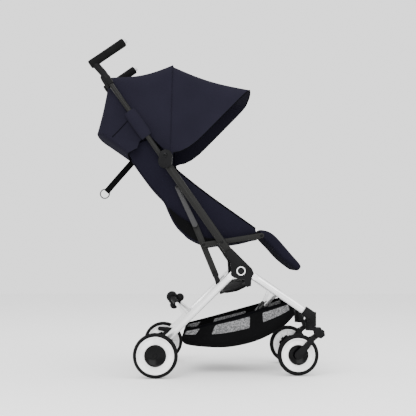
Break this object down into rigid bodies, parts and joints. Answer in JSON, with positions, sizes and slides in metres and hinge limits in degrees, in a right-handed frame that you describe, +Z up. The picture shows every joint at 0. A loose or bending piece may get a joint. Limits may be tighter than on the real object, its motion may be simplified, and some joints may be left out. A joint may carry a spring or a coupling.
{
  "type": "baby stroller",
  "caption": "Compact folding travel stroller with telescopic grips, canopy, reclining fabric seat, leg rest, basket, fixed rear wheels and swivelling front casters.",
  "frame": {"origin": "on the ground under the centre of the bounding box", "axes": "+X forward, +Y to the stroller's left, +Z up"},
  "size_m": [0.7158, 0.5, 1.0281],
  "materials": {
    "frame": "satin",
    "silver": "satin",
    "plastic": "satin",
    "grip": "matte",
    "fabric": "woven",
    "mesh": "mesh",
    "tyre": "matte",
    "rim": "gloss",
    "light": "satin",
    "chrome": "polished"
  },
  "bodies": {
    "frame_right": {"main_tube_right": "frame", "hub_casing_right": "plastic", "hub_cover_right": "light", "canopy_clamp_right": "plastic", "canopy_rear": "fabric", "seat_base": "fabric"},
    "handle_right": {"handle_tube_right": "frame", "grip_right": "grip"},
    "button_right": {"grip_button_right": "light"},
    "rear_leg_right": {"rear_leg_right": "silver", "rear_bracket_right": "plastic", "strut_bracket_right": "plastic", "basket": "mesh"},
    "rear_wheel_right": {"rear_tyre_right": "tyre", "rear_rim_right": "rim"},
    "front_leg_right": {"front_leg_right": "silver", "front_housing_right": "plastic"},
    "caster_right": {"swivel_yoke_right": "plastic"},
    "suspension_right": {"suspension_arm_right": "plastic"},
    "front_wheel_right": {"front_tyre_right": "tyre", "front_rim_right": "rim"},
    "seat_tube_right": {"seat_tube_right": "frame"},
    "strut_right": {"strut_right": "frame"},
    "upper_link_right": {"upper_link_right": "light"},
    "rear_bar_right": {"rear_bar_right": "silver"},
    "front_bar_right": {"front_bar_right": "silver"},
    "under_bar_right": {"under_bar_right": "plastic"},
    "frame_left": {"main_tube_left": "frame", "hub_casing_left": "plastic", "hub_cover_left": "light", "canopy_clamp_left": "plastic"},
    "handle_left": {"handle_tube_left": "frame", "grip_left": "grip"},
    "button_left": {"grip_button_left": "light"},
    "rear_leg_left": {"rear_leg_left": "silver", "rear_bracket_left": "plastic", "strut_bracket_left": "plastic"},
    "rear_wheel_left": {"rear_tyre_left": "tyre", "rear_rim_left": "rim"},
    "front_leg_left": {"front_leg_left": "silver", "front_housing_left": "plastic"},
    "caster_left": {"swivel_yoke_left": "plastic"},
    "suspension_left": {"suspension_arm_left": "plastic"},
    "front_wheel_left": {"front_tyre_left": "tyre", "front_rim_left": "rim"},
    "seat_tube_left": {"seat_tube_left": "frame"},
    "strut_left": {"strut_left": "frame"},
    "upper_link_left": {"upper_link_left": "light"},
    "rear_bar_left": {"rear_bar_left": "silver"},
    "front_bar_left": {"front_bar_left": "silver"},
    "under_bar_left": {"under_bar_left": "plastic"},
    "rear_hub": {"rear_hub": "plastic"},
    "front_hub": {"front_hub": "plastic"},
    "under_hub": {"under_hub": "plastic"},
    "canopy_front": {"canopy_front": "fabric"},
    "seat_back": {"seat_back": "fabric", "recline_strap": "fabric"},
    "d_ring": {"d_ring": "chrome"},
    "leg_rest": {"leg_rest": "fabric"},
    "brake_pedal": {"brake_pedal": "plastic"}
  },
  "joints": [
    {"name": "fold", "type": "hinge", "parent": "frame_right", "child": "rear_leg_right", "pos_m": [0.084, -0.2, 0.312], "axis": [0, 1, 0], "range_deg": [0, 90], "deforming": ["canopy_rear", "canopy_front", "seat_back", "seat_base", "leg_rest", "basket", "recline_strap"]},
    {"name": "front_leg_right_fold", "type": "hinge", "parent": "frame_right", "child": "front_leg_right", "pos_m": [0.131, -0.2, 0.309], "axis": [0, -1, 0], "range_deg": [-1, 141]},
    {"name": "seat_tube_right_fold", "type": "hinge", "parent": "frame_right", "child": "seat_tube_right", "pos_m": [0.047, -0.2, 0.404], "axis": [0, 1, 0], "range_deg": [-1, 91]},
    {"name": "strut_right_fold", "type": "hinge", "parent": "seat_tube_right", "child": "strut_right", "pos_m": [-0.0087, -0.2, 0.396], "axis": [0, -1, 0], "range_deg": [-1, 91]},
    {"name": "upper_link_right_fold", "type": "hinge", "parent": "frame_right", "child": "upper_link_right", "pos_m": [-0.089, -0.2, 0.571], "axis": [0, -1, 0], "range_deg": [-1, 39]},
    {"name": "rear_leg_left_fold", "type": "hinge", "parent": "frame_left", "child": "rear_leg_left", "pos_m": [0.084, 0.2, 0.312], "axis": [0, 1, 0], "range_deg": [-1, 91]},
    {"name": "front_leg_left_fold", "type": "hinge", "parent": "frame_left", "child": "front_leg_left", "pos_m": [0.131, 0.2, 0.309], "axis": [0, -1, 0], "range_deg": [-1, 141]},
    {"name": "seat_tube_left_fold", "type": "hinge", "parent": "frame_left", "child": "seat_tube_left", "pos_m": [0.047, 0.2, 0.404], "axis": [0, 1, 0], "range_deg": [-1, 91]},
    {"name": "strut_left_fold", "type": "hinge", "parent": "seat_tube_left", "child": "strut_left", "pos_m": [-0.0087, 0.2, 0.396], "axis": [0, -1, 0], "range_deg": [-1, 91]},
    {"name": "upper_link_left_fold", "type": "hinge", "parent": "frame_left", "child": "upper_link_left", "pos_m": [-0.089, 0.2, 0.571], "axis": [0, -1, 0], "range_deg": [-1, 39]},
    {"name": "under_bar_right_fold", "type": "hinge", "parent": "under_hub", "child": "under_bar_right", "pos_m": [0.05027, -0.016, 0.25422], "axis": [-0.3223, 0, 0.9466], "range_deg": [-1, 43.08]},
    {"name": "frame_right_fold", "type": "hinge", "parent": "under_bar_right", "child": "frame_right", "pos_m": [0.126, -0.1765, 0.28], "axis": [0.3223, 0, -0.9466], "range_deg": [-1, 43.08]},
    {"name": "under_bar_left_fold", "type": "hinge", "parent": "under_hub", "child": "under_bar_left", "pos_m": [0.05027, 0.016, 0.25422], "axis": [0.3223, 0, -0.9466], "range_deg": [-1, 43.08]},
    {"name": "frame_left_fold", "type": "hinge", "parent": "under_bar_left", "child": "frame_left", "pos_m": [0.126, 0.1765, 0.28], "axis": [-0.3223, 0, 0.9466], "range_deg": [-1, 43.08]},
    {"name": "rear_bar_right_fold", "type": "hinge", "parent": "rear_leg_right", "child": "rear_bar_right", "pos_m": [-0.05604, -0.1765, 0.17487], "axis": [0.7145, 0, 0.6997], "range_deg": [-1, 43.08]},
    {"name": "rear_hub_fold", "type": "hinge", "parent": "rear_bar_right", "child": "rear_hub", "pos_m": [-0.11201, -0.016, 0.23202], "axis": [-0.7145, 0, -0.6997], "range_deg": [-1, 43.08]},
    {"name": "rear_bar_left_fold", "type": "hinge", "parent": "rear_leg_left", "child": "rear_bar_left", "pos_m": [-0.05604, 0.1765, 0.17487], "axis": [-0.7145, 0, -0.6997], "range_deg": [-1, 43.08]},
    {"name": "front_bar_right_fold", "type": "hinge", "parent": "front_leg_right", "child": "front_bar_right", "pos_m": [0.21681, -0.1765, 0.25024], "axis": [-0.8251, 0, 0.565], "range_deg": [-1, 43.08]},
    {"name": "front_hub_fold", "type": "hinge", "parent": "front_bar_right", "child": "front_hub", "pos_m": [0.17161, -0.016, 0.18423], "axis": [0.8251, 0, -0.565], "range_deg": [-1, 43.08]},
    {"name": "front_bar_left_fold", "type": "hinge", "parent": "front_leg_left", "child": "front_bar_left", "pos_m": [0.21681, 0.1765, 0.25024], "axis": [0.8251, 0, -0.565], "range_deg": [-1, 43.08]},
    {"name": "handle_slide", "type": "slide", "parent": "frame_right", "child": "handle_right", "axis": [0.575, 0, -0.8181], "range_m": [0, 0.25], "deforming": ["canopy_rear"]},
    {"name": "handle_left_slide", "type": "slide", "parent": "frame_left", "child": "handle_left", "axis": [0.575, 0, -0.8181], "range_m": [-0.003, 0.253]},
    {"name": "grip_button_right_press", "type": "slide", "parent": "handle_right", "child": "button_right", "axis": [-0.8241, 0, -0.5664], "range_m": [0, 0.004], "stiffness_N_per_m": 600, "springref_m": -0.002},
    {"name": "grip_button_left_press", "type": "slide", "parent": "handle_left", "child": "button_left", "axis": [-0.8241, 0, -0.5664], "range_m": [0, 0.004], "stiffness_N_per_m": 600, "springref_m": -0.002},
    {"name": "rear_wheel_right_spin", "type": "hinge", "parent": "rear_leg_right", "child": "rear_wheel_right", "pos_m": [-0.151, -0.235, 0.067], "axis": [0, 1, 0], "continuous": true},
    {"name": "caster_right_swivel", "type": "hinge", "parent": "front_leg_right", "child": "caster_right", "pos_m": [0.317, -0.172, 0.168], "axis": [0, 0, 1], "continuous": true},
    {"name": "suspension_right_travel", "type": "hinge", "parent": "caster_right", "child": "suspension_right", "pos_m": [0.341, -0.172, 0.126], "axis": [0, 1, 0], "range_deg": [0, 6], "stiffness_Nm_per_rad": 12, "springref_deg": -20.05},
    {"name": "front_wheel_right_spin", "type": "hinge", "parent": "suspension_right", "child": "front_wheel_right", "pos_m": [0.278, -0.172, 0.063], "axis": [0, 1, 0], "continuous": true},
    {"name": "rear_wheel_left_spin", "type": "hinge", "parent": "rear_leg_left", "child": "rear_wheel_left", "pos_m": [-0.151, 0.235, 0.067], "axis": [0, 1, 0], "continuous": true},
    {"name": "caster_left_swivel", "type": "hinge", "parent": "front_leg_left", "child": "caster_left", "pos_m": [0.317, 0.172, 0.168], "axis": [0, 0, 1], "continuous": true},
    {"name": "suspension_left_travel", "type": "hinge", "parent": "caster_left", "child": "suspension_left", "pos_m": [0.341, 0.172, 0.126], "axis": [0, 1, 0], "range_deg": [0, 6], "stiffness_Nm_per_rad": 12, "springref_deg": -20.05},
    {"name": "front_wheel_left_spin", "type": "hinge", "parent": "suspension_left", "child": "front_wheel_left", "pos_m": [0.278, 0.172, 0.063], "axis": [0, 1, 0], "continuous": true},
    {"name": "canopy_fold", "type": "hinge", "parent": "frame_right", "child": "canopy_front", "pos_m": [-0.123, 0, 0.664], "axis": [0, -1, 0], "range_deg": [0, 60], "deforming": ["canopy_front", "canopy_rear"]},
    {"name": "recline", "type": "hinge", "parent": "frame_right", "child": "seat_back", "pos_m": [-0.05, 0, 0.42], "axis": [0, -1, 0], "range_deg": [0, 22], "deforming": ["seat_back", "seat_base"]},
    {"name": "leg_rest_lift", "type": "hinge", "parent": "frame_right", "child": "leg_rest", "pos_m": [0.178, 0, 0.428], "axis": [0, -1, 0], "range_deg": [0, 42], "deforming": ["leg_rest"]},
    {"name": "brake_pedal_press", "type": "hinge", "parent": "rear_leg_right", "child": "brake_pedal", "pos_m": [-0.09462, -0.18, 0.13708], "axis": [0, -1, 0], "range_deg": [0, 16]},
    {"name": "d_ring_swing", "type": "hinge", "parent": "seat_back", "child": "d_ring", "pos_m": [-0.32262, 0, 0.57398], "axis": [-0.7548, 0, 0.656], "range_deg": [-35, 35]}
  ],
  "couplings": [
    {"joint": "front_leg_right_fold", "follows": "fold", "ratio": 1.5556},
    {"joint": "seat_tube_right_fold", "follows": "fold", "ratio": 1},
    {"joint": "strut_right_fold", "follows": "fold", "ratio": 1},
    {"joint": "upper_link_right_fold", "follows": "fold", "ratio": 0.41889},
    {"joint": "rear_leg_left_fold", "follows": "fold", "ratio": 1},
    {"joint": "front_leg_left_fold", "follows": "fold", "ratio": 1.5556},
    {"joint": "seat_tube_left_fold", "follows": "fold", "ratio": 1},
    {"joint": "strut_left_fold", "follows": "fold", "ratio": 1},
    {"joint": "upper_link_left_fold", "follows": "fold", "ratio": 0.41889},
    {"joint": "under_bar_right_fold", "follows": "fold", "ratio": 0.46756},
    {"joint": "frame_right_fold", "follows": "fold", "ratio": 0.46756},
    {"joint": "under_bar_left_fold", "follows": "fold", "ratio": 0.46756},
    {"joint": "frame_left_fold", "follows": "fold", "ratio": 0.46756},
    {"joint": "rear_bar_right_fold", "follows": "fold", "ratio": 0.46756},
    {"joint": "rear_hub_fold", "follows": "fold", "ratio": 0.46756},
    {"joint": "rear_bar_left_fold", "follows": "fold", "ratio": 0.46756},
    {"joint": "front_bar_right_fold", "follows": "fold", "ratio": 0.46756},
    {"joint": "front_hub_fold", "follows": "fold", "ratio": 0.46756},
    {"joint": "front_bar_left_fold", "follows": "fold", "ratio": 0.46756},
    {"joint": "handle_left_slide", "follows": "handle_slide", "ratio": 1}
  ]
}
